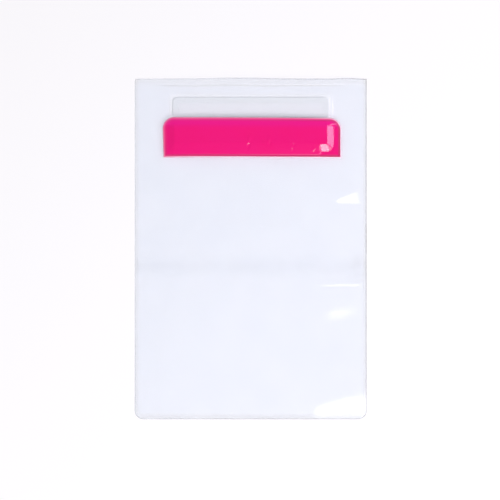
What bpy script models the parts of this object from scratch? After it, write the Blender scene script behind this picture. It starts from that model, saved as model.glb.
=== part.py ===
# Empty waterproof tablet pouch, lying on its back with its mouth towards +Y.
# Two clear film sheets are welded together along both sides and the bottom. A pink flap is
# welded to the front sheet along its straight edge. Folding the mouth over to the front
# brings the strip behind it up under the flap, whose own strip grips it.
# Metres, +Z up. The origin is on the table, under the middle of the pouch.

import math

import bmesh
import bpy
import numpy as np

# Pouch outline and film
POUCH_WIDTH = 0.210
POUCH_LENGTH = 0.3085
CORNER_RADIUS = 0.0075
FILM_THICKNESS = 0.0003

# Welds along the sides and the bottom, and the thicker hem along each lip of the mouth
SIDE_WELD = 0.0030
BOTTOM_WELD = 0.0050
HEM_HEIGHT = 0.0060
HEM_EXTRA = 0.0002
HEM_STEP = 0.0004

# The front sheet stands up in a low crown, as soft film does when the pouch is empty. It is full
# nearly to the side welds, and reaches its height one run up from the bottom weld.
CROWN_HEIGHT = 0.0065
CROWN_FULLNESS = 3.2
CROWN_RUN = 0.170

# Shallow valley across the front sheet, where the pouch was once folded in half
CREASE_DEPTH = 0.0005
CREASE_HALF_WIDTH = 0.0070
CREASE_BELOW_MOUTH = 0.1700

# Pink flap
FLAP_WIDTH = 0.1618
FLAP_HEIGHT = 0.0365
FLAP_BELOW_MOUTH = 0.0348
FLAP_OFFSET = 0.0014
FLAP_THICKNESS = 0.0009
FLAP_CORNER_RADIUS = 0.0108
FLAP_WELD = 0.0040

# Edge of the flap, from its outline inwards: a rounded bead, then a pressed groove
BEAD_ROUNDING = 0.0005
BEAD_CREST = 0.0007
BEAD_EDGE_THICKNESS = 0.0006
BEAD_THICKNESS = 0.0013
GROOVE_OUTER_SLOPE = 0.0007
GROOVE_INNER_SLOPE = 0.0008
GROOVE_THICKNESS = 0.0005

# Hook-and-loop strips: the loop strip is behind the mouth, the hook strip under the flap
STRIP_LENGTH = 0.1410
STRIP_HEIGHT = 0.0200
STRIP_CORNER_RADIUS = 0.0040
LOOP_THICKNESS = 0.0012
LOOP_BELOW_MOUTH = 0.0168
HOOK_THICKNESS = 0.0011
HOOK_BELOW_FLAP_TOP = 0.0035

# Distance over which the film comes back down to the table around the loop strip
LIFT_RUN = 0.0050

# Clearance between pieces that are welded, sewn or lying on each other
FIT_GAP = 0.0003

# Facets: the largest on the curved sheets, the number in a rounded corner and in a rise,
# and the distance within which two rows or columns become one
FACET_ACROSS = 0.0130
FACET_ALONG = 0.0120
CORNER_FACETS = 4
LIFT_FACETS = 4
CLOSEST_ROWS = 0.0001

# Finishes: colour, roughness and alpha
CLEAR_FILM = ((0.80, 0.85, 0.97), 0.12, 0.3)
PINK_VINYL = ((0.88, 0.014, 0.21), 0.18, 1.0)
PALE_STRIP = ((0.82, 0.85, 0.90), 0.85, 1.0)

# Places worked out from the sizes above
MOUTH_Y = POUCH_LENGTH / 2
BOTTOM_Y = -POUCH_LENGTH / 2
HALF_WIDTH = POUCH_WIDTH / 2
WELD_X = HALF_WIDTH - SIDE_WELD
WELD_Y = BOTTOM_Y + BOTTOM_WELD
HEM_Y = MOUTH_Y - HEM_HEIGHT
CREASE_Y = MOUTH_Y - CREASE_BELOW_MOUTH
FLAP_TOP_Y = MOUTH_Y - FLAP_BELOW_MOUTH
FLAP_BOTTOM_Y = FLAP_TOP_Y - FLAP_HEIGHT
FLAP_WELD_Y = FLAP_BOTTOM_Y + FLAP_WELD
LOOP_HIGH_Y = MOUTH_Y - LOOP_BELOW_MOUTH
LOOP_LOW_Y = LOOP_HIGH_Y - STRIP_HEIGHT
HOOK_HIGH_Y = FLAP_TOP_Y - HOOK_BELOW_FLAP_TOP
HOOK_LOW_Y = HOOK_HIGH_Y - STRIP_HEIGHT
FLAP_BEYOND_STRIP = (FLAP_WIDTH - STRIP_LENGTH) / 2

# Distances from the flap's outline at which its thickness changes, and the thickness at each
EDGE_DISTANCES = np.cumsum([0, BEAD_ROUNDING, BEAD_CREST, GROOVE_OUTER_SLOPE, GROOVE_INNER_SLOPE])
EDGE_THICKNESSES = [
    BEAD_EDGE_THICKNESS, BEAD_THICKNESS, BEAD_THICKNESS, GROOVE_THICKNESS, FLAP_THICKNESS
]


def smooth(share):
    """Ease from 0 to 1, level at both ends."""
    share = min(max(share, 0.0), 1.0)
    return share * share * (3 - 2 * share)


def loop_lift(x, y):
    """Height of the rear sheet above the table, where it passes over the loop strip."""
    past_side = (abs(x) - STRIP_LENGTH / 2) / LIFT_RUN
    past_end = max(LOOP_LOW_Y - y, y - LOOP_HIGH_Y) / LIFT_RUN
    return (LOOP_THICKNESS + FIT_GAP) * smooth(1 - past_side) * smooth(1 - past_end)


def sheet_thickness(x, y):
    """Film thickness, greater in the hem along the mouth."""
    return FILM_THICKNESS + HEM_EXTRA * smooth((y - HEM_Y) / HEM_STEP)


def crown(x, y):
    """Rise of the front sheet from its welds, less at the old fold."""
    across = min(abs(x) / WELD_X, 1.0)
    along = min(max((y - WELD_Y) / CROWN_RUN, 0.0), 1.0)
    fullness = (1 - across ** CROWN_FULLNESS) * (1 - (1 - along) ** 2)
    crease = CREASE_DEPTH * math.exp(-(((y - CREASE_Y) / CREASE_HALF_WIDTH) ** 2))
    return (CROWN_HEIGHT - crease) * fullness


def front_underside(x, y):
    """The front sheet lies on the rear one at the welds and stands clear of it elsewhere."""
    return loop_lift(x, y) + sheet_thickness(x, y) + FIT_GAP + crown(x, y)


def hook_underside(x, y):
    """The hook strip follows the top of the front sheet."""
    return front_underside(x, y) + sheet_thickness(x, y) + FIT_GAP


def flap_underside(x, y):
    """The hook strip holds the flap off the film, and it droops to the film at its free edges."""
    past_weld = smooth((y - FLAP_WELD_Y) / (HOOK_LOW_Y - FLAP_WELD_Y))
    past_top = smooth((FLAP_TOP_Y - y) / HOOK_BELOW_FLAP_TOP)
    past_end = smooth((FLAP_WIDTH / 2 - abs(x - FLAP_OFFSET)) / FLAP_BEYOND_STRIP)
    return hook_underside(x, y) + (HOOK_THICKNESS + FIT_GAP) * past_weld * past_top * past_end


def flap_thickness(x, y):
    """Thickness by distance from the outline, which is round at the two upper corners."""
    side = FLAP_WIDTH / 2 - abs(x - FLAP_OFFSET)
    top = FLAP_TOP_Y - y
    inward = min(side, top, y - FLAP_BOTTOM_Y)
    if max(side, top) < FLAP_CORNER_RADIUS:
        from_centre = math.hypot(FLAP_CORNER_RADIUS - side, FLAP_CORNER_RADIUS - top)
        inward = min(inward, FLAP_CORNER_RADIUS - from_centre)
    return float(np.interp(inward, EDGE_DISTANCES, EDGE_THICKNESSES))


def stations(keys, step):
    """Positions through every key in order, none further than one step from the next."""
    keys = sorted(keys)
    apart = [keys[0]]
    for key in keys[1:]:
        if key - apart[-1] > CLOSEST_ROWS:
            apart.append(key)
    apart[-1] = keys[-1]
    found = [apart[0]]
    for low, high in zip(apart[:-1], apart[1:]):
        count = max(1, math.ceil((high - low) / step))
        found += [low + (high - low) * k / count for k in range(1, count + 1)]
    return found


def columns_across(distances):
    """Columns on both sides of the middle, through every given distance from it."""
    return stations([-d for d in distances] + [0.0] + list(distances), FACET_ACROSS)


def corner_distances(radius):
    """Distances from the end of a shape at which its rounded corners have their points."""
    angles = [math.pi / 2 * k / CORNER_FACETS for k in range(CORNER_FACETS + 1)]
    return [radius - radius * math.cos(a) for a in angles]


def corner_inset(distance, radius):
    """How far a rounded corner lies inside the side of the shape, at a distance from its end."""
    across = min(max(radius - distance, 0.0), radius)
    return radius - math.sqrt(radius ** 2 - across ** 2)


def pouch_inset(y):
    return corner_inset(y - BOTTOM_Y, CORNER_RADIUS)


def flap_inset(y):
    return corner_inset(FLAP_TOP_Y - y, FLAP_CORNER_RADIUS)


def loop_inset(y):
    return corner_inset(min(y - LOOP_LOW_Y, LOOP_HIGH_Y - y), STRIP_CORNER_RADIUS)


def hook_inset(y):
    return corner_inset(min(y - HOOK_LOW_Y, HOOK_HIGH_Y - y), STRIP_CORNER_RADIUS)


def lift_columns():
    """Distances from the middle at which the film bends to pass over the loop strip."""
    return [STRIP_LENGTH / 2 + LIFT_RUN * k / LIFT_FACETS for k in range(LIFT_FACETS + 1)]


def lift_rows(low, high):
    """Rows between two heights at which the film bends to pass over the loop strip."""
    steps = [LIFT_RUN * k / LIFT_FACETS for k in range(LIFT_FACETS + 1)]
    rows = [LOOP_LOW_Y - d for d in steps] + [LOOP_HIGH_Y + d for d in steps]
    return [y for y in rows if low < y < high]


def pouch_rows():
    """Rows up the pouch at which either sheet changes shape."""
    corners = [BOTTOM_Y + d for d in corner_distances(CORNER_RADIUS)]
    return corners + lift_rows(BOTTOM_Y, HEM_Y) + [HEM_Y, HEM_Y + HEM_STEP, MOUTH_Y]


def strip_rows(low, high):
    """Rows up a strip, close together in its rounded corners."""
    distances = corner_distances(STRIP_CORNER_RADIUS)
    return [low + d for d in distances] + [high - d for d in distances]


def curved_sheet(columns, rows, half_width, centre_x, inset, underside, thickness):
    """Draw the underside row by row, extrude it upwards and set both faces to their heights."""
    bm = bmesh.new()
    grid = []
    for y in rows:
        narrowing = 1 - inset(y) / half_width
        grid.append([bm.verts.new((centre_x + x * narrowing, y, 0.0)) for x in columns])
    for near, far in zip(grid[:-1], grid[1:]):
        for k in range(len(columns) - 1):
            bm.faces.new((near[k], near[k + 1], far[k + 1], far[k]))
    lower = bm.verts[:]
    extruded = bmesh.ops.extrude_face_region(bm, geom=bm.faces[:], use_keep_orig=True)
    upper = [v for v in extruded["geom"] if isinstance(v, bmesh.types.BMVert)]
    for v in upper:
        v.co.z = underside(v.co.x, v.co.y) + thickness(v.co.x, v.co.y)
    for v in lower:
        v.co.z = underside(v.co.x, v.co.y)
    bmesh.ops.recalc_face_normals(bm, faces=bm.faces[:])
    return bm


def make_material(name, finish):
    colour, roughness, alpha = finish
    material = bpy.data.materials.new(name)
    material.use_nodes = True
    shader = material.node_tree.nodes["Principled BSDF"]
    shader.inputs["Base Color"].default_value = (*colour, 1.0)
    shader.inputs["Roughness"].default_value = roughness
    shader.inputs["Alpha"].default_value = alpha
    return material


def add_piece(name, bm, place, finish, parent):
    """Add one named object whose origin is at its own place on the pouch."""
    bmesh.ops.translate(bm, verts=bm.verts[:], vec=[-c for c in place])
    mesh = bpy.data.meshes.new(name)
    bm.to_mesh(mesh)
    bm.free()
    mesh.materials.append(make_material(name, finish))
    piece = bpy.data.objects.new(name, mesh)
    piece.location = place
    piece.parent = parent
    bpy.context.scene.collection.objects.link(piece)


def rear_sheet(pouch):
    """Flat on the table, apart from its low rise over the loop strip."""
    columns = columns_across(lift_columns() + [HALF_WIDTH])
    rows = stations(pouch_rows(), FACET_ALONG)
    bm = curved_sheet(columns, rows, HALF_WIDTH, 0.0, pouch_inset, loop_lift, sheet_thickness)
    add_piece("rear_sheet", bm, (0.0, 0.0, 0.0), CLEAR_FILM, pouch)


def front_sheet(pouch):
    """Welded to the rear sheet along three edges, and open at the mouth."""
    columns = columns_across(lift_columns() + [WELD_X, HALF_WIDTH])
    crease = [CREASE_Y + CREASE_HALF_WIDTH * k for k in (-2, -1, 0, 1, 2)]
    rows = stations(pouch_rows() + crease + [WELD_Y], FACET_ALONG)
    bm = curved_sheet(columns, rows, HALF_WIDTH, 0.0, pouch_inset, front_underside, sheet_thickness)
    add_piece("front_sheet", bm, (0.0, 0.0, 0.0), CLEAR_FILM, pouch)


def loop_strip(pouch):
    """Flat on the table behind the mouth, under the rear sheet."""
    columns = [-STRIP_LENGTH / 2, STRIP_LENGTH / 2]
    rows = sorted(strip_rows(LOOP_LOW_Y, LOOP_HIGH_Y))
    bm = curved_sheet(
        columns, rows, STRIP_LENGTH / 2, 0.0, loop_inset,
        underside=lambda x, y: 0.0, thickness=lambda x, y: LOOP_THICKNESS)
    add_piece("loop_strip", bm, (0.0, (LOOP_LOW_Y + LOOP_HIGH_Y) / 2, 0.0), PALE_STRIP, pouch)


def hook_strip(pouch):
    """Between the flap and the front sheet, along the middle of the flap."""
    columns = columns_across([STRIP_LENGTH / 2])
    rows = stations(
        strip_rows(HOOK_LOW_Y, HOOK_HIGH_Y) + lift_rows(HOOK_LOW_Y, HOOK_HIGH_Y), FACET_ALONG)
    bm = curved_sheet(
        columns, rows, STRIP_LENGTH / 2, FLAP_OFFSET, hook_inset,
        hook_underside, thickness=lambda x, y: HOOK_THICKNESS)
    middle_y = (HOOK_LOW_Y + HOOK_HIGH_Y) / 2
    place = (FLAP_OFFSET, middle_y, hook_underside(FLAP_OFFSET, middle_y))
    add_piece("hook_strip", bm, place, PALE_STRIP, pouch)


def closure_flap(pouch):
    """Pink flap over the hook strip, free along its round-cornered edge nearer the mouth."""
    edge = [FLAP_WIDTH / 2 - d for d in EDGE_DISTANCES]
    columns = columns_across(edge + [STRIP_LENGTH / 2, STRIP_LENGTH / 2 + FLAP_BEYOND_STRIP / 2])
    near_rows = [FLAP_BOTTOM_Y + d for d in EDGE_DISTANCES]
    far_rows = [FLAP_TOP_Y - d for d in EDGE_DISTANCES]
    corners = [FLAP_TOP_Y - d for d in corner_distances(FLAP_CORNER_RADIUS)]
    bends = [FLAP_WELD_Y, HOOK_LOW_Y, HOOK_HIGH_Y] + lift_rows(HOOK_LOW_Y, FLAP_TOP_Y)
    rows = stations(near_rows + bends + corners + far_rows, FACET_ALONG)
    bm = curved_sheet(
        columns, rows, FLAP_WIDTH / 2, FLAP_OFFSET, flap_inset, flap_underside, flap_thickness)
    place = (FLAP_OFFSET, FLAP_WELD_Y, flap_underside(FLAP_OFFSET, FLAP_WELD_Y))
    add_piece("closure_flap", bm, place, PINK_VINYL, pouch)


def main():
    for old in list(bpy.data.objects):
        bpy.data.objects.remove(old)
    pouch = bpy.data.objects.new("pouch", None)
    bpy.context.scene.collection.objects.link(pouch)
    rear_sheet(pouch)
    front_sheet(pouch)
    loop_strip(pouch)
    hook_strip(pouch)
    closure_flap(pouch)


main()
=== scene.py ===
import math

import bpy
import numpy as np
from mathutils import Matrix, Vector


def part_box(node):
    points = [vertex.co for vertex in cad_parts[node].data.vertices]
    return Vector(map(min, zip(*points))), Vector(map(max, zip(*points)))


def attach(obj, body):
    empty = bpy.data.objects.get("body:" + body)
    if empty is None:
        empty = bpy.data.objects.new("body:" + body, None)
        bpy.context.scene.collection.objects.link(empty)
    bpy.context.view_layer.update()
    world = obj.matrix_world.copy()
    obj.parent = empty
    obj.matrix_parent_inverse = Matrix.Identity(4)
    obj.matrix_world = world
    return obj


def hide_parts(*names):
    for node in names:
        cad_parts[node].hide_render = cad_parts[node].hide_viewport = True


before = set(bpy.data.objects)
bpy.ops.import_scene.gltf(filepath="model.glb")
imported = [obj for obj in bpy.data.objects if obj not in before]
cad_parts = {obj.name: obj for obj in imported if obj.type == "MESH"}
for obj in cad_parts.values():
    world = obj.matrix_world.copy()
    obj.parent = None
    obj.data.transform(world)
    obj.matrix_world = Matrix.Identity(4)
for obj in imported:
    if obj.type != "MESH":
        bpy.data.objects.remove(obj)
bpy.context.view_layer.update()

# Empty clear film pouch for a tablet, lying on its back: two welded film sheets, a glossy pink
# flap, and the hook-and-loop strips that hold the folded mouth under it. Lengths are in metres.

rearLow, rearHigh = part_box("rear_sheet")
flapLow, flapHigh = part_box("closure_flap")
hookLow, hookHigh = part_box("hook_strip")
loopLow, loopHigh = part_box("loop_strip")
print("frame loaded")


# Helpers for surfaces on a grid

leastGap = 0.00002
sharpAngle = math.radians(50)


def smoothStep(share):
    # eases from 0 to 1, level at both ends
    share = np.clip(share, 0.0, 1.0)
    return share * share * (3 - 2 * share)


def hump(distance, width):
    # a bell, 1 at no distance and close to nothing at two widths
    return np.exp(-(distance / width) ** 2)


def stations(low, high, step, fine=()):
    # positions from low to high, closer together within the fine spans (from, to, step), and
    # never closer than the least gap
    places = np.linspace(low, high, round((high - low) / step) + 1)
    for a, b, closer in fine:
        a, b = max(a, low), min(b, high)
        outside = places[(places < a - closer / 2) | (places > b + closer / 2)]
        places = np.concatenate([outside, np.linspace(a, b, max(2, round((b - a) / closer) + 1))])
    places = np.unique(np.concatenate([places, [low, high]]).round(7))
    return places[np.concatenate([[True], np.diff(places) > leastGap])]


def cornerInset(distance, radius):
    # how far a rounded corner lies inside the side, at a distance from the end of the shape
    across = np.clip(radius - distance, 0.0, radius)
    return radius - np.sqrt(radius ** 2 - across ** 2)


def roundedEdge(side, end, radius):
    # distance inwards from two edges that meet in a rounded corner
    inward = np.minimum(side, end)
    inCorner = np.maximum(side, end) < radius
    return np.where(inCorner, radius - np.hypot(radius - side, radius - end), inward)


def gridOf(columns, rows, centreX, half, inset):
    # x and y of a grid whose rows are drawn in at rounded corners
    narrowing = 1 - inset / half
    x = centreX + (columns - centreX)[None, :] * narrowing[:, None]
    return x, np.repeat(rows[:, None], len(columns), axis=1)


def linked(name, data):
    # a new object in the scene
    thing = bpy.data.objects.new(name, data)
    bpy.context.scene.collection.objects.link(thing)
    return thing


def closedSheet(name, x, y, low, high, **attributes):
    # top grid, underside grid and a wall round the rim, all facing outwards; an attribute has one
    # set of values for both faces, or a pair
    count = x.size
    points = np.concatenate([np.stack([x, y, z], axis=-1).reshape(-1, 3) for z in (high, low)])
    index = np.arange(count).reshape(x.shape)
    corners = (index[:-1, :-1], index[:-1, 1:], index[1:, 1:], index[1:, :-1])
    top = np.stack(corners, axis=-1).reshape(-1, 4)
    rim = np.concatenate([index[0, :-1], index[:-1, -1], index[-1, :0:-1], index[:0:-1, 0]])
    following = np.roll(rim, -1)
    wall = np.stack([rim + count, following + count, following, rim], axis=-1)
    mesh = bpy.data.meshes.new(name)
    mesh.from_pydata(points, [], np.concatenate([top, top[:, ::-1] + count, wall]))
    mesh.shade_smooth()
    mesh.set_sharp_from_angle(angle=sharpAngle)
    for title, values in attributes.items():
        above, below = values if isinstance(values, tuple) else (values, values)
        both = np.concatenate([above.ravel(), below.ravel()]).astype(np.float32)
        mesh.attributes.new(title, "FLOAT", "POINT").data.foreach_set("value", both)
    return linked(name, mesh)


def ripple(x, y, seed, longest, shortest=0.45, count=7):
    # sine waves in fixed random directions, adding up to about plus or minus 1, their lengths
    # between the longest and a share of it
    random = np.random.default_rng(seed)
    total = np.zeros_like(x)
    for heading, length, phase in random.uniform(size=(count, 3)):
        along = x * math.cos(heading * 2 * math.pi) + y * math.sin(heading * 2 * math.pi)
        waves = along / (longest * (shortest + (1 - shortest) * length))
        total += np.sin(2 * math.pi * (waves + phase))
    return total / count ** 0.5


# Materials

def newMaterial(name, settings):
    material = bpy.data.materials.new(name)
    material.use_nodes = True
    tree = material.node_tree
    shader = tree.nodes["Principled BSDF"]
    for socket, value in settings.items():
        shader.inputs[socket].default_value = value
    return material, tree, shader


def feed(tree, socket, value):
    # links an output to a socket, or sets the socket to a plain value
    if isinstance(value, bpy.types.NodeSocket):
        tree.links.new(value, socket)
    else:
        socket.default_value = value


def attribute(tree, name):
    node = tree.nodes.new("ShaderNodeAttribute")
    node.attribute_name = name
    return node.outputs["Fac"]


def maths(tree, operation, *values):
    node = tree.nodes.new("ShaderNodeMath")
    node.operation = operation
    for socket, value in zip(node.inputs, values):
        feed(tree, socket, value)
    return node.outputs[0]


def mixColour(tree, share, first, second):
    # the node has sockets for every data type, and those for colours are 6, 7 and output 2
    node = tree.nodes.new("ShaderNodeMix")
    node.data_type = "RGBA"
    for socket, value in ((0, share), (6, first), (7, second)):
        feed(tree, node.inputs[socket], (*value, 1) if isinstance(value, tuple) else value)
    return node.outputs[2]


def noise(tree, scale, detail=2.0):
    # noise on object coordinates, with scale in cycles per metre
    place = tree.nodes.new("ShaderNodeTexCoord")
    node = tree.nodes.new("ShaderNodeTexNoise")
    node.inputs["Scale"].default_value = scale
    node.inputs["Detail"].default_value = detail
    tree.links.new(place.outputs["Object"], node.inputs["Vector"])
    return node.outputs["Fac"]


def spread(tree, value, low, high):
    # a value from 0 to 1 moved into a range
    return maths(tree, "MULTIPLY_ADD", value, high - low, low)


def bump(tree, shader, height, distance):
    node = tree.nodes.new("ShaderNodeBump")
    node.inputs["Distance"].default_value = distance
    tree.links.new(height, node.inputs["Height"])
    tree.links.new(node.outputs["Normal"], shader.inputs["Normal"])


def lampsPassing(tree, share):
    # 1, less the given share in shadow rays, so that lamps shine through and shadows are weak
    paths = tree.nodes.new("ShaderNodeLightPath")
    return maths(tree, "MULTIPLY_ADD", paths.outputs["Is Shadow Ray"], -share, 1.0)


def clearFilm():
    # soft clear vinyl with a faint blue cast, greyer and duller where it is pressed, greyed and
    # clouded by painted shade along its rim, crease and pinch and in a veil, clearer over the loop
    # strip as painted light, and more visible where it is looked at along its surface
    look = {
        "haze": (0.42, 0.53, 0.70),
        "pressed": (0.33, 0.335, 0.32),
        "alpha": 0.060,
        "cloudAlpha": 0.30,
        "grazingAlpha": 0.45,
        "grazingPower": 5.0,
        "mottleScale": 28.0,
        "mottle": (0.85, 1.15),
        "lampsPass": 0.80,
        "sheenScale": 90.0,
        "roughness": (0.10, 0.14),
        "dull": 0.6,
        "dullPower": 3.0,
        "grainScale": 200.0,
        "grainDetail": 1.0,
        "grainHeight": 0.000003,
    }
    material, tree, shader = newMaterial("clear_film", {"IOR": 2.1, "Specular IOR Level": 0.5})
    greyAndPaintedShade = attribute(tree, "greyAndPaintedShade")
    # pressed welds and hem, and painted shade on the rim, the crease and the pinch, grey the film
    colour = mixColour(tree, greyAndPaintedShade, look["haze"], look["pressed"])
    tree.links.new(colour, shader.inputs["Base Color"])
    facing = tree.nodes.new("ShaderNodeLayerWeight").outputs["Facing"]
    grazing = maths(tree, "POWER", facing, look["grazingPower"])
    mottle = spread(tree, noise(tree, look["mottleScale"]), *look["mottle"])
    body = maths(tree, "MULTIPLY_ADD", attribute(tree, "hazeAndPaintedShade"), look["cloudAlpha"], look["alpha"])
    body = maths(tree, "MULTIPLY", body, mottle)
    alpha = maths(tree, "MULTIPLY_ADD", grazing, look["grazingAlpha"], body)
    alpha = maths(tree, "MULTIPLY", alpha, lampsPassing(tree, look["lampsPass"]))
    tree.links.new(alpha, shader.inputs["Alpha"])
    sheen = spread(tree, noise(tree, look["sheenScale"]), *look["roughness"])
    dulled = maths(tree, "MULTIPLY_ADD", maths(tree, "POWER", greyAndPaintedShade, look["dullPower"]), look["dull"], sheen)
    tree.links.new(dulled, shader.inputs["Roughness"])
    bump(tree, shader, noise(tree, look["grainScale"], look["grainDetail"]), look["grainHeight"])
    return material


def pinkVinyl():
    # glossy vinyl, pale at its thin outer edge, which is partly a clear flash and partly a painted
    # highlight and glow; painted shade darkens its groove, which is also dull, and a painted
    # reflection makes it a little bluer in a band along its top
    look = {
        "body": (0.98, 0.003, 0.20),
        "bluerToneAndReflection": (0.94, 0.005, 0.27),
        "deepShade": (0.55, 0.001, 0.12),
        "paleHighlightAndGlow": (1.0, 0.82, 0.94),
        "mottleScale": 70.0,
        "mottle": (0.0, 0.35),
        "lampsPass": 0.87,
        "sheenScale": 140.0,
        "roughness": (0.09, 0.13),
        "dull": 0.45,
        "grainScale": 900.0,
        "grainHeight": 0.000012,
    }
    material, tree, shader = newMaterial("pink_vinyl", {"IOR": 1.5, "Specular IOR Level": 0.33})
    tree.links.new(lampsPassing(tree, look["lampsPass"]), shader.inputs["Alpha"])
    grooveShade = attribute(tree, "grooveShade")
    mottle = spread(tree, noise(tree, look["mottleScale"]), *look["mottle"])
    # painted reflection in the band along the top, and tone that varies at random
    bluerToneAndReflection = maths(tree, "ADD", attribute(tree, "reflectionBand"), mottle)
    colour = mixColour(tree, bluerToneAndReflection, look["body"], look["bluerToneAndReflection"])
    # painted shade in the groove
    colour = mixColour(tree, grooveShade, colour, look["deepShade"])
    # painted highlight and glow on the rim, over its clear flash
    colour = mixColour(tree, attribute(tree, "paleHighlightAndGlow"), colour, look["paleHighlightAndGlow"])
    tree.links.new(colour, shader.inputs["Base Color"])
    sheen = spread(tree, noise(tree, look["sheenScale"]), *look["roughness"])
    dulled = maths(tree, "MULTIPLY_ADD", grooveShade, look["dull"], sheen)
    tree.links.new(dulled, shader.inputs["Roughness"])
    bump(tree, shader, noise(tree, look["grainScale"]), look["grainHeight"])
    return material


def wovenTape():
    # close plain weave, two sine ribbings at right angles, with painted shade in the dips of the weave
    # and along its pressed border
    look = {
        "field": (0.99, 0.99, 0.985),
        "border": (0.95, 0.965, 0.95),
        "dipShade": (0.90, 0.91, 0.94),
        "dipShadeShare": 0.25,
        "waveScale": 260.0,
        "weaveHeight": 0.00002,
    }
    material, tree, shader = newMaterial("woven_tape", {"Roughness": 0.85})
    place = tree.nodes.new("ShaderNodeTexCoord")
    heights = []
    for direction in ("X", "Y"):
        wave = tree.nodes.new("ShaderNodeTexWave")
        wave.bands_direction = direction
        wave.inputs["Scale"].default_value = look["waveScale"]
        tree.links.new(place.outputs["Object"], wave.inputs["Vector"])
        heights.append(wave.outputs["Fac"])
    weave = maths(tree, "MULTIPLY", *heights)
    # painted shade along the tape's pressed border
    colour = mixColour(tree, attribute(tree, "border"), look["field"], look["border"])
    # painted shade in the dips of the weave
    colour = mixColour(tree, maths(tree, "MULTIPLY", weave, look["dipShadeShare"]), colour, look["dipShade"])
    tree.links.new(colour, shader.inputs["Base Color"])
    bump(tree, shader, weave, look["weaveHeight"])
    return material


def pileThread():
    # pale nylon thread with a slight shine, a little uneven in tone
    look = {"darker": (0.74, 0.77, 0.85), "lighter": (0.88, 0.90, 0.95), "mottleScale": 400.0}
    material, tree, shader = newMaterial("pile_thread", {"Roughness": 0.45, "Sheen Weight": 0.3})
    colour = mixColour(tree, noise(tree, look["mottleScale"]), look["darker"], look["lighter"])
    tree.links.new(colour, shader.inputs["Base Color"])
    return material


filmFinish = clearFilm()
flapFinish = pinkVinyl()
tapeFinish = wovenTape()
threadFinish = pileThread()
print("materials made")


# Film sheets: the front one follows the rear one at the welds and stands up in a crown

film = {
    "thickness": 0.0003,
    "sideWeld": 0.0030,
    "bottomWeld": 0.0050,
    "cornerRadius": 0.0075,
    "hemHeight": 0.0060,
    "hemExtra": 0.00012,
    "hemStep": 0.0014,
    "crownHeight": 0.0065,
    "crownFullness": 3.2,
    "crownRun": 0.170,
    "creaseDepth": 0.0005,
    "creaseHalfWidth": 0.0070,
    "creaseBelowMouth": 0.1700,
    "puckerEnd": 0.0030,
    "liftRun": 0.0050,
    "gap": 0.0003,
    "weldedGap": 0.00003,
    "weldEase": 0.0006,
    "beadHeight": 0.00012,
    "beadHalfWidth": 0.0005,
    "rimRounding": 0.0007,
    "rimPinch": 0.4,
    "lipBow": 0.0008,
    "lipRun": 0.010,
    "waveHeight": 0.00012,
    "waveLength": 0.090,
    "waveRise": 2.0,
    "waveSeed": 4,
    "frontStep": 0.0020,
    "rearStep": 0.0030,
    "edgeStep": 0.0003,
    "liftStep": 0.0010,
    "sideSpan": 0.0045,
    "endSpan": 0.0075,
}
# Bulges of the lip, by their place and half width along it and their share of the bow
lipBulges = [(-0.012, 0.032, 1.0), (0.087, 0.009, 0.8)]
# Folds that run in from the right edge, by where they start (tip), their lower side (low), their
# width at the tip and at the edge (narrow, wide), the slope up across it, the run back down
# (fall), how far the slope is eased at its two ends (ease) and how soon they reach their height
# (ramp)
puckers = [
    {"tip": 0.0745, "low": 0.0413, "narrow": 0.0025, "wide": 0.0125, "slope": 0.215, "fall": 0.030,
     "ease": 0.0, "ramp": 6.0},
    {"tip": 0.0600, "low": -0.0340, "narrow": 0.0017, "wide": 0.0022, "slope": 0.24, "fall": 0.012,
     "ease": 0.0, "ramp": 6.0},
    {"tip": 0.0550, "low": -0.0717, "narrow": 0.0180, "wide": 0.0340, "slope": 0.0710, "fall": 0.030,
     "ease": 1.0, "ramp": 2.3},
]
# The fold that lifts both sheets off the table at the lower right corner
cornerFold = {"tip": 0.050, "low": -0.1543, "narrow": 0.0085, "wide": 0.0270, "slope": 0.10,
              "fall": 0.050, "ease": 0.3, "ramp": 6.0}
mouthY = rearHigh[1]
bottomY = rearLow[1]
halfWidth = rearHigh[0]
weldX = halfWidth - film["sideWeld"]
weldY = bottomY + film["bottomWeld"]
hemY = mouthY - film["hemHeight"]
creaseY = mouthY - film["creaseBelowMouth"]


def loopLift(x, y):
    # the rear sheet rises over the loop strip and comes back down around it
    pastSide = (np.abs(x) - loopHigh[0]) / film["liftRun"]
    pastEnd = np.maximum(loopLow[1] - y, y - loopHigh[1]) / film["liftRun"]
    return (loopHigh[2] + film["gap"]) * smoothStep(1 - pastSide) * smoothStep(1 - pastEnd)


def filmThickness(x, y):
    # thicker in the hem along the mouth
    return film["thickness"] + film["hemExtra"] * smoothStep((y - hemY) / film["hemStep"])


def insideWeld(x, y):
    # distance inwards from the inner edge of the side and bottom welds, less than 0 on a weld
    return np.minimum(weldX - np.abs(x), y - weldY)


def fullness(x, y):
    # falls as a power of the share of the way to the side welds, and along a parabola down to
    # the bottom weld
    across = np.minimum(np.abs(x) / weldX, 1.0)
    along = 1 - (1 - np.clip((y - weldY) / film["crownRun"], 0.0, 1.0)) ** 2
    return (1 - across ** film["crownFullness"]) * along


def foldRise(x, y, fold):
    # steps up across the fold's width and eases back down beyond it, from nothing at its tip
    reach = np.clip((x - fold["tip"]) / (weldX - fold["tip"]), 0.0, 1.0)
    width = fold["narrow"] + (fold["wide"] - fold["narrow"]) * reach
    up = np.clip((y - fold["low"]) / width, 0.0, 1.0)
    up += fold["ease"] * (smoothStep(up) - up)
    down = smoothStep((y - fold["low"] - width) / fold["fall"])
    return fold["slope"] * width * (up - down) * smoothStep(reach * fold["ramp"])


def rearUnderside(x, y):
    return loopLift(x, y) + foldRise(x, y, cornerFold)


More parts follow.
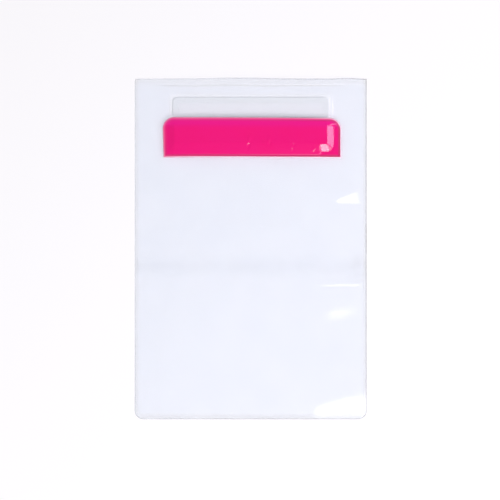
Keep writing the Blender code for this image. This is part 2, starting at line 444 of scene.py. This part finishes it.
def frontUnderside(x, y):
    # the rear sheet, the gap above it, and the crown with its old crease, wave and folds
    full = fullness(x, y)
    crease = film["creaseDepth"] * hump(y - creaseY, film["creaseHalfWidth"])
    wave = film["waveHeight"] * ripple(x, y, film["waveSeed"], film["waveLength"])
    wave = wave * np.minimum(full * film["waveRise"], 1.0)
    eased = smoothStep(insideWeld(x, y) / film["weldEase"])
    gap = film["weldedGap"] + (film["gap"] - film["weldedGap"]) * eased
    puckered = sum(foldRise(x, y, fold) for fold in puckers) * smoothStep((weldX - x) / film["puckerEnd"])
    crown = (film["crownHeight"] - crease) * full + wave + puckered
    return rearUnderside(x, y) + filmThickness(x, y) + gap + crown


def weldBead(x, y):
    # a low ridge of squeezed film along the inner edge of the welds
    return film["beadHeight"] * hump(insideWeld(x, y), film["beadHalfWidth"])


def filmGrid(step):
    # finer along the outline, where the film rises over the loop strip and on the sharp folds
    edge, lift = film["edgeStep"], film["liftStep"]
    side, end = film["sideSpan"], film["endSpan"]
    sides = [(-halfWidth, -halfWidth + side, edge), (halfWidth - side, halfWidth, edge)]
    lifts = [(loopHigh[0] - lift, loopHigh[0] + film["liftRun"] + lift, lift)]
    lifts += [(-b, -a, closer) for a, b, closer in lifts]
    ends = [(bottomY, bottomY + end, edge), (mouthY - end, mouthY, edge)]
    ends += [(y - film["liftRun"], y + film["liftRun"], lift) for y in (loopLow[1], loopHigh[1])]
    sharp = [fold for fold in puckers if fold["ease"] == 0.0]
    ends += [(fold["low"] - 2 * edge, fold["low"] + fold["wide"] + lift, edge) for fold in sharp]
    columns = stations(-halfWidth, halfWidth, step, sides + lifts)
    rows = stations(bottomY, mouthY, step, ends)
    return gridOf(columns, rows, 0.0, halfWidth, cornerInset(rows - bottomY, film["cornerRadius"]))


def filmEdge(x, y):
    # distance inwards from the outline, which is round at the two bottom corners
    edge = roundedEdge(halfWidth - np.abs(x), y - bottomY, film["cornerRadius"])
    return np.minimum(edge, mouthY - y)


def rimPinch(x, y):
    # the cut rim is slightly rounded: both faces turn in towards the middle of the film
    turnedIn = 1 - smoothStep(filmEdge(x, y) / film["rimRounding"])
    return film["rimPinch"] * film["thickness"] * turnedIn


def lipBow(x, y):
    # the lip of the mouth bows out a little at its bulges
    bulge = sum(share * hump(x - place, width) for place, width, share in lipBulges)
    return film["lipBow"] * bulge * smoothStep((y - mouthY + film["lipRun"]) / film["lipRun"])


# Marks of the film: what each adds to its haze and to its grey, and where they lie. The veil,
# the crease and the pinch are painted shade, the rim is greyer film with painted shade on its
# shaded sides, and the strip mark is painted light
markShares = {
    "paintedShadeVeil": (0.02, 0.0),
    "strip": (-0.07, 0.0),
    "weld": (0.03, 0.4),
    "rim": (1.6, 1.0),
    "hem": (0.0, 0.3),
    "hemLine": (0.09, 1.0),
    "crease": (0.045, 0.1),
    "pinch": (0.03, 0.2),
}
marks = {
    "veilTilt": 0.8,
    "veilFrom": -0.06,
    "veilRun": 0.12,
    "rimWidth": 0.0009,
    "rimLeast": 0.15,
    "rimShaded": 0.45,
    "rimDarkest": 0.50,
    "shadeMiddle": 0.45,
    "shadeSides": 0.55,
    "darkestLow": -0.0030,
    "darkestHigh": 0.0230,
    "darkestEase": 0.0020,
    "lineBelow": 0.0004,
    "lineSway": 0.0002,
    "lineSwayRate": 90.0,
    "lineHalfWidth": 0.0005,
    "lineReach": 0.0980,
    "lineFade": 0.0300,
    "pinchPlace": (0.0970, -0.0110),
    "pinchSize": (0.0060, 0.0110),
}


def rimGreyAndShade(x, y):
    # greyer all round, and with painted shade stronger towards the right and the bottom and darkest
    # in one stretch of the right side
    sides = x / halfWidth - np.minimum(y / mouthY, 0.0)
    shaded = np.clip(marks["shadeMiddle"] + marks["shadeSides"] * sides, 0.0, 1.0)
    above = smoothStep((y - marks["darkestLow"]) / marks["darkestEase"])
    below = smoothStep((marks["darkestHigh"] - y) / marks["darkestEase"])
    strength = marks["rimLeast"] + marks["rimShaded"] * shaded
    strength += marks["rimDarkest"] * above * below * (x > 0)
    return strength * (1 - smoothStep(filmEdge(x, y) / marks["rimWidth"]))


def hemLineMark(x, y):
    # a thin line that sways a little just below the hem and fades towards both sides
    sway = marks["lineBelow"] + marks["lineSway"] * np.sin(x * marks["lineSwayRate"])
    fade = smoothStep((marks["lineReach"] - np.abs(x)) / marks["lineFade"])
    return hump(y - hemY + sway, marks["lineHalfWidth"]) * fade


def filmMarks(x, y):
    # painted shade: a veil darker towards the mouth and the left side, a greyer, hazier band along
    # the old crease with some haze of the fold, and a pinch where that meets the right edge;
    # painted light: the film is clearer on the loop strip so that the strip reads brighter
    (pinchX, pinchY), (pinchWide, pinchLong) = marks["pinchPlace"], marks["pinchSize"]
    made = {
        "paintedShadeVeil": smoothStep((y - marks["veilTilt"] * x - marks["veilFrom"]) / marks["veilRun"]),
        "strip": loopLift(x, y) / (loopHigh[2] + film["gap"]),
        "weld": 1 - smoothStep(insideWeld(x, y) / film["weldEase"]),
        "rim": rimGreyAndShade(x, y),
        "hem": smoothStep((y - hemY) / film["hemStep"]),
        "hemLine": hemLineMark(x, y),
        "crease": hump(y - creaseY, film["creaseHalfWidth"]),
        "pinch": hump(x - pinchX, pinchWide) * hump(y - pinchY, pinchLong),
    }
    hazeAndPaintedShade = sum(markShares[mark][0] * strength for mark, strength in made.items())
    greyAndPaintedShade = sum(markShares[mark][1] * strength for mark, strength in made.items())
    return {"hazeAndPaintedShade": hazeAndPaintedShade, "greyAndPaintedShade": np.clip(greyAndPaintedShade, 0.0, 1.0)}


def filmSheet(name, x, y, low, thickness):
    # one sheet with its rounded rim, its bowed lip and its marks
    pinch = rimPinch(x, y)
    faces = (low + pinch, low + thickness - pinch)
    sheet = closedSheet(name, x, y + lipBow(x, y), *faces, **filmMarks(x, y))
    sheet.data.materials.append(filmFinish)
    return sheet


def rearSheet():
    x, y = filmGrid(film["rearStep"])
    sheet = filmSheet("rear_film", x, y, rearUnderside(x, y), filmThickness(x, y))
    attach(sheet, "root")
    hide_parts("rear_sheet")


def frontSheet():
    x, y = filmGrid(film["frontStep"])
    thickness = filmThickness(x, y) + weldBead(x, y)
    sheet = filmSheet("front_film", x, y, frontUnderside(x, y), thickness)
    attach(sheet, "root")
    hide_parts("front_sheet")


rearSheet()
frontSheet()
print("film sheets made")


# Hook-and-loop strips: a woven tape with a pressed border, and loops or hooks on its far side

strip = {
    "cornerRadius": 0.0040,
    "border": 0.0048,
    "borderEase": 0.0006,
    "borderPress": 0.00012,
    "tape": 0.00045,
    "step": 0.0015,
    "edgeStep": 0.0004,
    "edgeSpan": 0.0060,
    "threadRadius": 0.00007,
    "threadTurns": (-0.5, 0.5),
    "threadSizes": (0.85, 1.0),
    "threadRoot": 0.02,
    "threadGap": 0.00002,
    "pileInset": 0.0012,
    "pileEdge": 0.8,
    "pileScatter": 0.15,
    "loopPitch": 0.00105,
    "loopHalfWidth": 0.00038,
    "loopPoints": 6,
    "loopSeed": 11,
    "hookPitch": 0.00150,
    "hookThickness": 0.0009,
    "hookAcross": (0.0, 0.0, 0.00006, 0.00022, 0.00038, 0.00040),
    "hookDown": (-0.02, 0.45, 0.80, 0.97, 0.85, 0.62),
    "hookSeed": 12,
}


def tapeEdge(x, y, low, high):
    # distance inwards from the outline of a strip with four rounded corners
    side = (high[0] - low[0]) / 2 - np.abs(x - (low[0] + high[0]) / 2)
    end = np.minimum(y - low[1], high[1] - y)
    return roundedEdge(side, end, strip["cornerRadius"])


def onBorder(x, y, low, high):
    # 1 on the pressed border of a strip and 0 inside it
    return 1 - smoothStep((tapeEdge(x, y, low, high) - strip["border"]) / strip["borderEase"])


def tapeGrid(low, high):
    step, span = strip["edgeStep"], strip["edgeSpan"]
    sides, ends = ([(low[axis], low[axis] + span, step), (high[axis] - span, high[axis], step)]
                   for axis in (0, 1))
    columns = stations(low[0], high[0], strip["step"], sides)
    rows = stations(low[1], high[1], strip["step"], ends)
    inset = cornerInset(np.minimum(rows - low[1], high[1] - rows), strip["cornerRadius"])
    return gridOf(columns, rows, (low[0] + high[0]) / 2, (high[0] - low[0]) / 2, inset)


def pile(name, profile, x, y, root, drop, random):
    # one thin three-sided thread per place, carried along a flat profile of (across, down) points
    # and turned at random; root is the height it starts from and drop its depth
    turn = random.uniform(*strip["threadTurns"], x.shape)
    size = random.uniform(*strip["threadSizes"], x.shape)
    path = np.stack([profile[:, 0], np.zeros(len(profile)), -profile[:, 1]], axis=-1)
    along = np.gradient(path, axis=0)
    along /= np.linalg.norm(along, axis=1)[:, None]
    sideways = np.array([0.0, 1.0, 0.0])
    upwards = np.cross(along, sideways)
    corner = np.arange(3)
    angles = (corner * 2 * math.pi / 3)[None, :, None]
    ring = np.cos(angles) * sideways + np.sin(angles) * upwards[:, None, :]
    thread = (path[:, None, :] * [1, 1, drop] + ring * strip["threadRadius"]).reshape(-1, 3)
    across, aside, down = thread.T[:, None, :]
    cosine, sine = np.cos(turn)[:, None], np.sin(turn)[:, None]
    points = np.stack([
        across * cosine - aside * sine + x[:, None],
        across * sine + aside * cosine + y[:, None],
        down * size[:, None] + root[:, None]], axis=-1)
    count = len(profile)
    first = np.arange(count - 1)[:, None] * 3 + corner
    after = np.arange(count - 1)[:, None] * 3 + (corner + 1) % 3
    sides = np.stack([first, after, after + 3, first + 3], axis=-1).reshape(-1, 4)
    caps = np.stack([corner[::-1], corner + 3 * (count - 1)])
    starts = np.arange(len(x))[:, None, None] * count * 3
    faces = (sides + starts).reshape(-1, 4).tolist() + (caps + starts).reshape(-1, 3).tolist()
    mesh = bpy.data.meshes.new(name)
    mesh.from_pydata(points.reshape(-1, 3), [], faces)
    mesh.shade_smooth()
    mesh.materials.append(threadFinish)
    piece = linked(name, mesh)
    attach(piece, "root")


def pilePlaces(low, high, pitch, random):
    # a grid of places inside the strip's outline, each moved a little at random
    columns = np.arange(low[0] + strip["pileInset"], high[0] - strip["pileInset"], pitch)
    rows = np.arange(low[1] + strip["pileInset"], high[1] - strip["pileInset"], pitch)
    x, y = (grid.ravel() for grid in np.meshgrid(columns, rows))
    x = x + random.uniform(-strip["pileScatter"], strip["pileScatter"], x.shape) * pitch
    y = y + random.uniform(-strip["pileScatter"], strip["pileScatter"], y.shape) * pitch
    inside = tapeEdge(x, y, low, high) > strip["pileInset"] * strip["pileEdge"]
    return x[inside], y[inside]


def loopStrip():
    # the tape lies face down: its smooth back under the film and its loops, which are half
    # circles pulled down, on the table
    x, y = tapeGrid(loopLow, loopHigh)
    border = onBorder(x, y, loopLow, loopHigh)
    top = loopHigh[2] - strip["borderPress"] * border
    root = loopHigh[2] - strip["tape"]
    tape = closedSheet("loop_tape", x, y, 0 * x + root, top, border=border)
    tape.data.materials.append(tapeFinish)
    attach(tape, "root")
    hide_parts("loop_strip")
    random = np.random.default_rng(strip["loopSeed"])
    px, py = pilePlaces(loopLow, loopHigh, strip["loopPitch"], random)
    turn = np.linspace(0, math.pi, strip["loopPoints"])
    arch = np.stack([-strip["loopHalfWidth"] * np.cos(turn), np.sin(turn) - strip["threadRoot"]], axis=-1)
    drop = root - strip["threadRadius"] - strip["threadGap"]
    pile("loops", arch, px, py, 0 * px + root, drop, random)


def hookUnderside(x, y):
    # lies on the front film
    return frontUnderside(x, y) + filmThickness(x, y) + film["gap"]


def hookStrip():
    # the tape hangs under the flap, with its hooks pointing down
    x, y = tapeGrid(hookLow, hookHigh)
    top = hookUnderside(x, y) + strip["hookThickness"]
    border = onBorder(x, y, hookLow, hookHigh)
    tape = closedSheet("hook_tape", x, y, top - strip["tape"], top, border=border)
    tape.data.materials.append(tapeFinish)
    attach(tape, "root")
    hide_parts("hook_strip")
    random = np.random.default_rng(strip["hookSeed"])
    px, py = pilePlaces(hookLow, hookHigh, strip["hookPitch"], random)
    root = hookUnderside(px, py) + strip["hookThickness"] - strip["tape"]
    bend = np.stack([strip["hookAcross"], strip["hookDown"]], axis=-1)
    drop = strip["hookThickness"] - strip["tape"] - strip["threadRadius"] - strip["threadGap"]
    pile("hooks", bend, px, py, root, drop, random)


loopStrip()
hookStrip()
print("strips made")


# Pink flap: it lies over the hook strip and droops to the film along its free edges, with a bead
# and a groove inside its rim that fade out along its top and at its left end

flap = {
    "thickness": 0.0009,
    "cornerRadius": 0.0108,
    "weld": 0.0040,
    "edgeDistances": (0.0, 0.00015, 0.0004, 0.0008, 0.0012, 0.0016, 0.0021, 0.0025, 0.0030),
    "edgeThicknesses": (0.0005, 0.0009, 0.00115, 0.0013, 0.00118, 0.0006, 0.0005, 0.0008, 0.0009),
    "plainSlope": 0.8,
    "beadTop": 0.70,
    "beadTopFade": 0.15,
    "beadLeft": -0.0060,
    "beadLeftFade": 0.0200,
    "paleWidth": 0.00084,
    "paintedGlow": 0.62,
    "paintedGlowDepth": 0.0008,
    "grooveMiddle": 0.0024,
    "grooveHalfWidth": 0.0007,
    "grooveLeast": 0.15,
    "lampSideMiddle": 0.55,
    "lampSideRight": 0.6,
    "lampSideLower": 0.8,
    "bandMiddle": 0.0045,
    "bandHalfWidth": 0.0034,
    "lean": 0.0012,
    "turn": 0.0009,
    "pillow": 0.00015,
    "pillowPowers": (6, 4),
    "dentsFrom": 0.0025,
    "dentsRun": 0.0040,
    "clearance": 0.0001,
    "coverRun": 0.0045,
    "coverShare": 0.3,
    "prop": 0.0014,
    "propLow": (-0.0690, 0.0962),
    "propHigh": (0.0687, 0.1118),
    "sideRuns": (0.0068, 0.0170),
    "sideEase": 0.0030,
    "lowRuns": (0.0125, 0.0077),
    "lowEase": 0.0018,
    "steepFrom": 0.0620,
    "bridge": 0.0004,
    "step": 0.0008,
    "edgeStep": 0.00022,
    "edgeSpan": 0.0034,
    "topSpan": 0.0095,
}
# Dents that tilt the surface: the middle, half the length and width, the turn of the long
# direction from +Y, and the slopes added across X and along Y
dents = [
    {"x": 0.0670, "y": 0.0925, "long": 0.0060, "wide": 0.0060, "turn": 0.0, "slopes": (0.0, 0.05)},
    {"x": -0.0015, "y": 0.0975, "long": 0.0050, "wide": 0.0010, "turn": -0.15, "slopes": (-0.07, 0.175)},
    {"x": 0.0170, "y": 0.0978, "long": 0.0034, "wide": 0.0013, "turn": 0.0, "slopes": (-0.07, 0.175)},
    {"x": 0.0385, "y": 0.0966, "long": 0.0022, "wide": 0.0011, "turn": 0.2, "slopes": (-0.07, 0.17)},
    {"x": 0.0375, "y": 0.0912, "long": 0.0026, "wide": 0.0010, "turn": 0.0, "slopes": (-0.07, 0.065)},
    {"x": 0.0570, "y": 0.0895, "long": 0.0030, "wide": 0.0016, "turn": -0.6, "slopes": (-0.04, 0.06)},
]
flapMiddle = (flapLow[0] + flapHigh[0]) / 2
flapHalf = (flapHigh[0] - flapLow[0]) / 2


def dentRise(x, y):
    # each dent is a plane through its middle, faded out by a bell along and across it
    total = np.zeros_like(x)
    for dent in dents:
        dx, dy = x - dent["x"], y - dent["y"]
        cosine, sine = math.cos(dent["turn"]), math.sin(dent["turn"])
        along, across = dy * cosine - dx * sine, dx * cosine + dy * sine
        window = np.exp(-np.abs(along / dent["long"]) ** 3 - np.abs(across / dent["wide"]) ** 3)
        total += (dent["slopes"][0] * dx + dent["slopes"][1] * dy) * window
    return total


def stripCover(x, y):
    # 1 over the hook strip, easing to 0 past its two ends and along the edge nearer the mouth
    pastEnd = 1 + ((hookHigh[0] - hookLow[0]) / 2 - np.abs(x - flapMiddle)) / flap["coverRun"]
    pastTop = (flapHigh[1] - y) / (flapHigh[1] - hookHigh[1])
    return smoothStep(pastEnd) * smoothStep(pastTop)


def flapUnderside(x, y):
    # lies on the front film at its weld, and clears the hook strip above it
    weldEnd = flapLow[1] + flap["weld"]
    propped = smoothStep((y - weldEnd) / (hookLow[1] - weldEnd)) * stripCover(x, y)
    return hookUnderside(x, y) + (strip["hookThickness"] + flap["clearance"]) * propped


def flapTop(x, y, thickness):
    # level over the propped part and on to the edge nearer the mouth, bridging the film's rise
    # over the loop strip; it falls off towards the two ends and the weld, more steeply at the
    # lower right corner, as a cone round each corner
    (lowX, lowY), (highX, highY) = flap["propLow"], flap["propHigh"]
    (sideRun, topRun), (lowRun, steepRun) = flap["sideRuns"], flap["lowRuns"]
    sideRun = sideRun + (topRun - sideRun) * smoothStep((y - highY) / flap["sideEase"])
    lowRun = lowRun + (steepRun - lowRun) * smoothStep((x - flap["steepFrom"]) / flap["lowEase"])
    past = np.maximum(np.maximum(lowX - x, x - highX), 0.0) / sideRun
    beyond = np.maximum(lowY - y, 0.0) / lowRun
    propped = 1 - np.minimum(np.hypot(past, beyond), 1.0)
    bridge = flap["bridge"] * smoothStep((y - lowY) / (flapHigh[1] - lowY))
    level = hookUnderside(x, y) - loopLift(x, y) + bridge + flap["prop"] * propped
    return np.maximum(level + thickness, flapUnderside(x, y) + thickness * flap["coverShare"])


def flapEdge(x, y):
    # distance inwards from the outline, which is round at the two corners nearer the mouth
    upper = roundedEdge(flapHalf - np.abs(x - flapMiddle), flapHigh[1] - y, flap["cornerRadius"])
    return np.minimum(upper, y - flapLow[1])


def flapGrid():
    step, side, top = flap["edgeStep"], flap["edgeSpan"], flap["topSpan"]
    sides = [(flapLow[0], flapLow[0] + side, step), (flapHigh[0] - side, flapHigh[0], step)]
    ends = [(flapLow[1], flapLow[1] + side, step), (flapHigh[1] - top, flapHigh[1], step)]
    columns = stations(flapLow[0], flapHigh[0], flap["step"], sides)
    rows = stations(flapLow[1], flapHigh[1], flap["step"], ends)
    inset = cornerInset(flapHigh[1] - rows, flap["cornerRadius"])
    return gridOf(columns, rows, flapMiddle, flapHalf, inset)


def flapThickness(x, inward, upwards):
    # the bead and the groove by the distance inwards, and a plain thinned rim where they fade
    beaded = np.interp(inward, flap["edgeDistances"], flap["edgeThicknesses"])
    plain = np.minimum(flap["thickness"], flap["edgeThicknesses"][0] + flap["plainSlope"] * inward)
    lower = 1 - smoothStep((upwards - flap["beadTop"]) / flap["beadTopFade"])
    right = smoothStep((x - flapLow[0] - flap["beadLeft"]) / flap["beadLeftFade"])
    return plain + (beaded - plain) * lower * right


def flapMarks(y, inward, across, upwards):
    # towards the lower right, the side facing the lamps, the rim is pale, partly a clear flash and
    # partly a painted highlight, and the groove gets deep painted shade; elsewhere the rim gets a
    # painted glow, fading inwards; a painted reflection lies in a band along the top
    # how much the rim faces the lamps, which sets the painted highlight and the groove's painted shade
    towardsRight = flap["lampSideRight"] * across ** 3
    share = flap["lampSideMiddle"] + towardsRight - flap["lampSideLower"] * (upwards - 0.5)
    share = np.clip(share, 0.0, 1.0)
    rim = share * (1 - smoothStep(inward / flap["paleWidth"] - 1))
    paintedGlow = flap["paintedGlow"] * (1 - share) * np.exp(-inward / flap["paintedGlowDepth"])
    paleHighlightAndGlow = np.maximum(rim, paintedGlow)
    # painted shade in the groove, deeper on the side facing the lamps
    depth = flap["grooveLeast"] + (1 - flap["grooveLeast"]) * share
    grooveShade = depth * hump(inward - flap["grooveMiddle"], flap["grooveHalfWidth"])
    # painted reflection along the top of the flap
    reflectionBand = hump(flapHigh[1] - y - flap["bandMiddle"], flap["bandHalfWidth"])
    return {"paleHighlightAndGlow": (paleHighlightAndGlow, np.zeros_like(paleHighlightAndGlow)), "reflectionBand": reflectionBand, "grooveShade": grooveShade}


def closureFlap():
    x, y = flapGrid()
    inward = flapEdge(x, y)
    across = (x - flapMiddle) / flapHalf
    upwards = (y - flapLow[1]) / (flapHigh[1] - flapLow[1])
    acrossPower, upwardsPower = flap["pillowPowers"]
    pillow = flap["pillow"] * (1 - across ** acrossPower) * (1 - (2 * upwards - 1) ** upwardsPower)
    dented = dentRise(x, y) * smoothStep((inward - flap["dentsFrom"]) / flap["dentsRun"])
    low = flapUnderside(x, y)
    high = flapTop(x, y, flapThickness(x, inward, upwards)) + pillow + dented
    shades = flapMarks(y, inward, across, upwards)
    # the left end leans and the whole flap is turned a little in its plane
    x = x - flap["lean"] * (upwards - 0.5) * (1 - across) / 2
    y = y - flap["turn"] * (across + 1) / 2
    piece = closedSheet("pink_flap", x, y, low, high, **shades)
    piece.data.materials.append(flapFinish)
    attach(piece, "root")
    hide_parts("closure_flap")


closureFlap()
print("flap made")


# Studio: a white floor and surround, a wide softbox to the lower right with a brighter centre,
# and a narrow violet one to the right

studio = {
    "floorSize": 4.0,
    "floorDepth": 0.00002,
    "floorColour": 0.95,
    "floorLift": 0.12,
    "overheadFill": 0.37,
    "horizonFill": 0.22,
    "softboxes": [
        {"name": "lower_right_softbox", "mirrorSlope": (-0.13, 0.213), "distance": 3.5,
         "size": (2.10, 1.02), "power": 56.0, "colour": (1.0, 1.0, 1.0)},
        {"name": "lower_right_centre", "mirrorSlope": (-0.12, 0.20), "distance": 3.4,
         "size": (0.95, 0.54), "power": 15.0, "colour": (1.0, 0.96, 1.0)},
        {"name": "right_softbox", "mirrorSlope": (-0.33, 0.01), "distance": 3.0,
         "size": (0.48, 0.90), "power": 16.5, "colour": (0.88, 0.76, 1.0)},
    ],
    "filmSurfaces": 4,
    "filmCrossings": 3,
    "spareBounces": 4,
    "pixel": 0.0009067,
    "pictureSize": 500,
    "pouchPixel": (250.7, 249.0),
    "cameraHeight": 3.0,
    "sensor": 36.0,
}


def makeFloor():
    # just below the table plane, and lifted to the photograph's white in camera rays alone
    half, depth, white = studio["floorSize"] / 2, studio["floorDepth"], studio["floorColour"]
    corners = [(-half, -half, -depth), (half, -half, -depth), (half, half, -depth), (-half, half, -depth)]
    mesh = bpy.data.meshes.new("floor")
    mesh.from_pydata(corners, [], [(0, 1, 2, 3)])
    material, tree, shader = newMaterial("white_floor", {
        "Base Color": (white, white, white, 1), "Roughness": 1.0, "Specular IOR Level": 0.0,
        "Emission Color": (1, 1, 1, 1)})
    paths = tree.nodes.new("ShaderNodeLightPath")
    lift = maths(tree, "MULTIPLY", paths.outputs["Is Camera Ray"], studio["floorLift"])
    tree.links.new(lift, shader.inputs["Emission Strength"])
    mesh.materials.append(material)
    linked("floor", mesh)


def makeSoftbox(softbox):
    # stands where surfaces with its mirror slope show it to a camera straight above
    slopeX, slopeY = softbox["mirrorSlope"]
    towards = Vector((-2 * slopeX, -2 * slopeY, 1 - slopeX ** 2 - slopeY ** 2)).normalized()
    sideways = (Vector((1, 0, 0)) - towards * towards.x).normalized()
    lamp = bpy.data.lights.new(softbox["name"], "AREA")
    lamp.shape = "RECTANGLE"
    lamp.size, lamp.size_y = softbox["size"]
    lamp.energy = softbox["power"]
    lamp.color = softbox["colour"]
    stand = linked(softbox["name"], lamp)
    stand.rotation_euler = Matrix((sideways, towards.cross(sideways), towards)).transposed().to_euler()
    stand.location = towards * softbox["distance"]


def makeWorld():
    # white all round, brighter overhead than towards the horizon
    world = bpy.data.worlds.new("studio")
    world.use_nodes = True
    tree = world.node_tree
    place = tree.nodes.new("ShaderNodeTexCoord")
    split = tree.nodes.new("ShaderNodeSeparateXYZ")
    tree.links.new(place.outputs["Generated"], split.inputs["Vector"])
    overhead = maths(tree, "MAXIMUM", split.outputs["Z"], 0.0)
    strength = spread(tree, overhead, studio["horizonFill"], studio["overheadFill"])
    tree.links.new(strength, tree.nodes["Background"].inputs["Strength"])
    tree.nodes["Background"].inputs["Color"].default_value = (1, 1, 1, 1)
    bpy.context.scene.world = world


def makeCamera():
    # straight above, moved so that the pouch's middle falls on its pixel in the picture
    data = bpy.data.cameras.new("camera")
    data.sensor_width = studio["sensor"]
    data.lens = studio["sensor"] * studio["cameraHeight"] / (studio["pictureSize"] * studio["pixel"])
    camera = linked("camera", data)
    centre = studio["pictureSize"] / 2
    offX = (centre - studio["pouchPixel"][0]) * studio["pixel"]
    offY = (studio["pouchPixel"][1] - centre) * studio["pixel"]
    camera.location = (offX, offY, studio["cameraHeight"])
    bpy.context.scene.camera = camera


makeFloor()
for softbox in studio["softboxes"]:
    makeSoftbox(softbox)
makeWorld()
makeCamera()
bpy.context.scene.view_settings.view_transform = "Standard"
# a path crosses every film surface on its way down, on its way back up and once more
bounces = studio["filmCrossings"] * studio["filmSurfaces"] + studio["spareBounces"]
bpy.context.scene.cycles.transparent_max_bounces = bounces
print("studio made")
